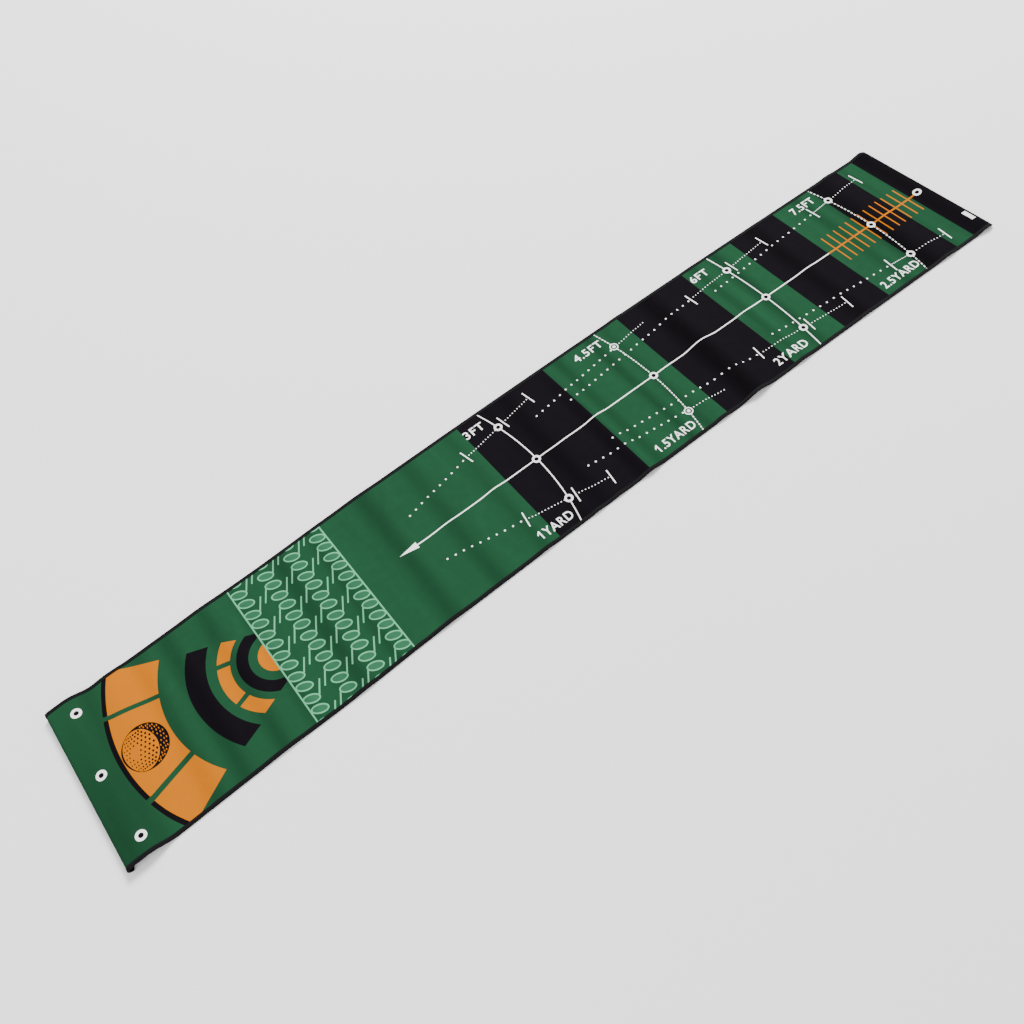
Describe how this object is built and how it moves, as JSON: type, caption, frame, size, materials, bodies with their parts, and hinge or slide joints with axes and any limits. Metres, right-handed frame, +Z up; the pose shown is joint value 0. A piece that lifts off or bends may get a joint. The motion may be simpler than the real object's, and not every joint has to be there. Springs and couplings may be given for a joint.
{
  "type": "practice putting mat",
  "caption": "Long narrow roll-out putting mat: printed pile fabric on foam and a non-slip backing, edges bound with tape, folds in three.",
  "frame": {"origin": "middle of the footprint, on the floor", "axes": "+X along the mat from the target end to the far end, +Y to the left edge as seen from the target end, +Z up"},
  "size_m": [3.085, 0.508, 0.0247],
  "materials": {
    "pile_fabric": "short brushed polyester pile with a dye-printed green, black and orange layout",
    "foam": "matt foam",
    "backing": "light grey non-slip backing, fine texture",
    "edge_tape": "black woven polyester tape",
    "thread": "black polyester thread",
    "label": "white satin, blank"
  },
  "bodies": {
    "middle_third": {"middle_backing": "backing", "middle_foam_core": "foam", "middle_top_fabric": "pile_fabric", "middle_edge_tape_left": "edge_tape", "middle_edge_stitching_left": "thread", "middle_edge_tape_right": "edge_tape", "middle_edge_stitching_right": "thread"},
    "near_third": {"near_backing": "backing", "near_foam_core": "foam", "near_top_fabric": "pile_fabric", "near_rise_backing": "backing", "near_rise_top_fabric": "pile_fabric", "near_rise_edge_tape_left": "edge_tape", "near_rise_edge_tape_right": "edge_tape", "near_curl_backing": "backing", "near_curl_top_fabric": "pile_fabric", "near_curl_edge_tape_left": "edge_tape", "near_curl_edge_tape_right": "edge_tape", "near_end_tape": "edge_tape", "near_end_stitching": "thread", "near_edge_tape_left": "edge_tape", "near_edge_stitching_left": "thread", "near_edge_tape_right": "edge_tape", "near_edge_stitching_right": "thread"},
    "far_third": {"far_backing": "backing", "far_foam_core": "foam", "far_top_fabric": "pile_fabric", "far_rise_backing": "backing", "far_rise_top_fabric": "pile_fabric", "far_rise_edge_tape_left": "edge_tape", "far_rise_edge_tape_right": "edge_tape", "far_curl_backing": "backing", "far_curl_top_fabric": "pile_fabric", "far_curl_edge_tape_left": "edge_tape", "far_curl_edge_tape_right": "edge_tape", "far_end_tape": "edge_tape", "far_end_stitching": "thread", "far_label": "label", "far_label_stitching": "thread", "far_edge_tape_left": "edge_tape", "far_edge_stitching_left": "thread", "far_edge_tape_right": "edge_tape", "far_edge_stitching_right": "thread"}
  },
  "joints": [
    {"name": "near_fold", "type": "hinge", "parent": "middle_third", "child": "near_third", "pos_m": [-0.51417, 0, 0.02], "axis": [0, 1, 0], "range_deg": [0, 179]},
    {"name": "far_fold", "type": "hinge", "parent": "middle_third", "child": "far_third", "pos_m": [0.51417, 0, 0.036], "axis": [0, -1, 0], "range_deg": [0, 179]}
  ]
}
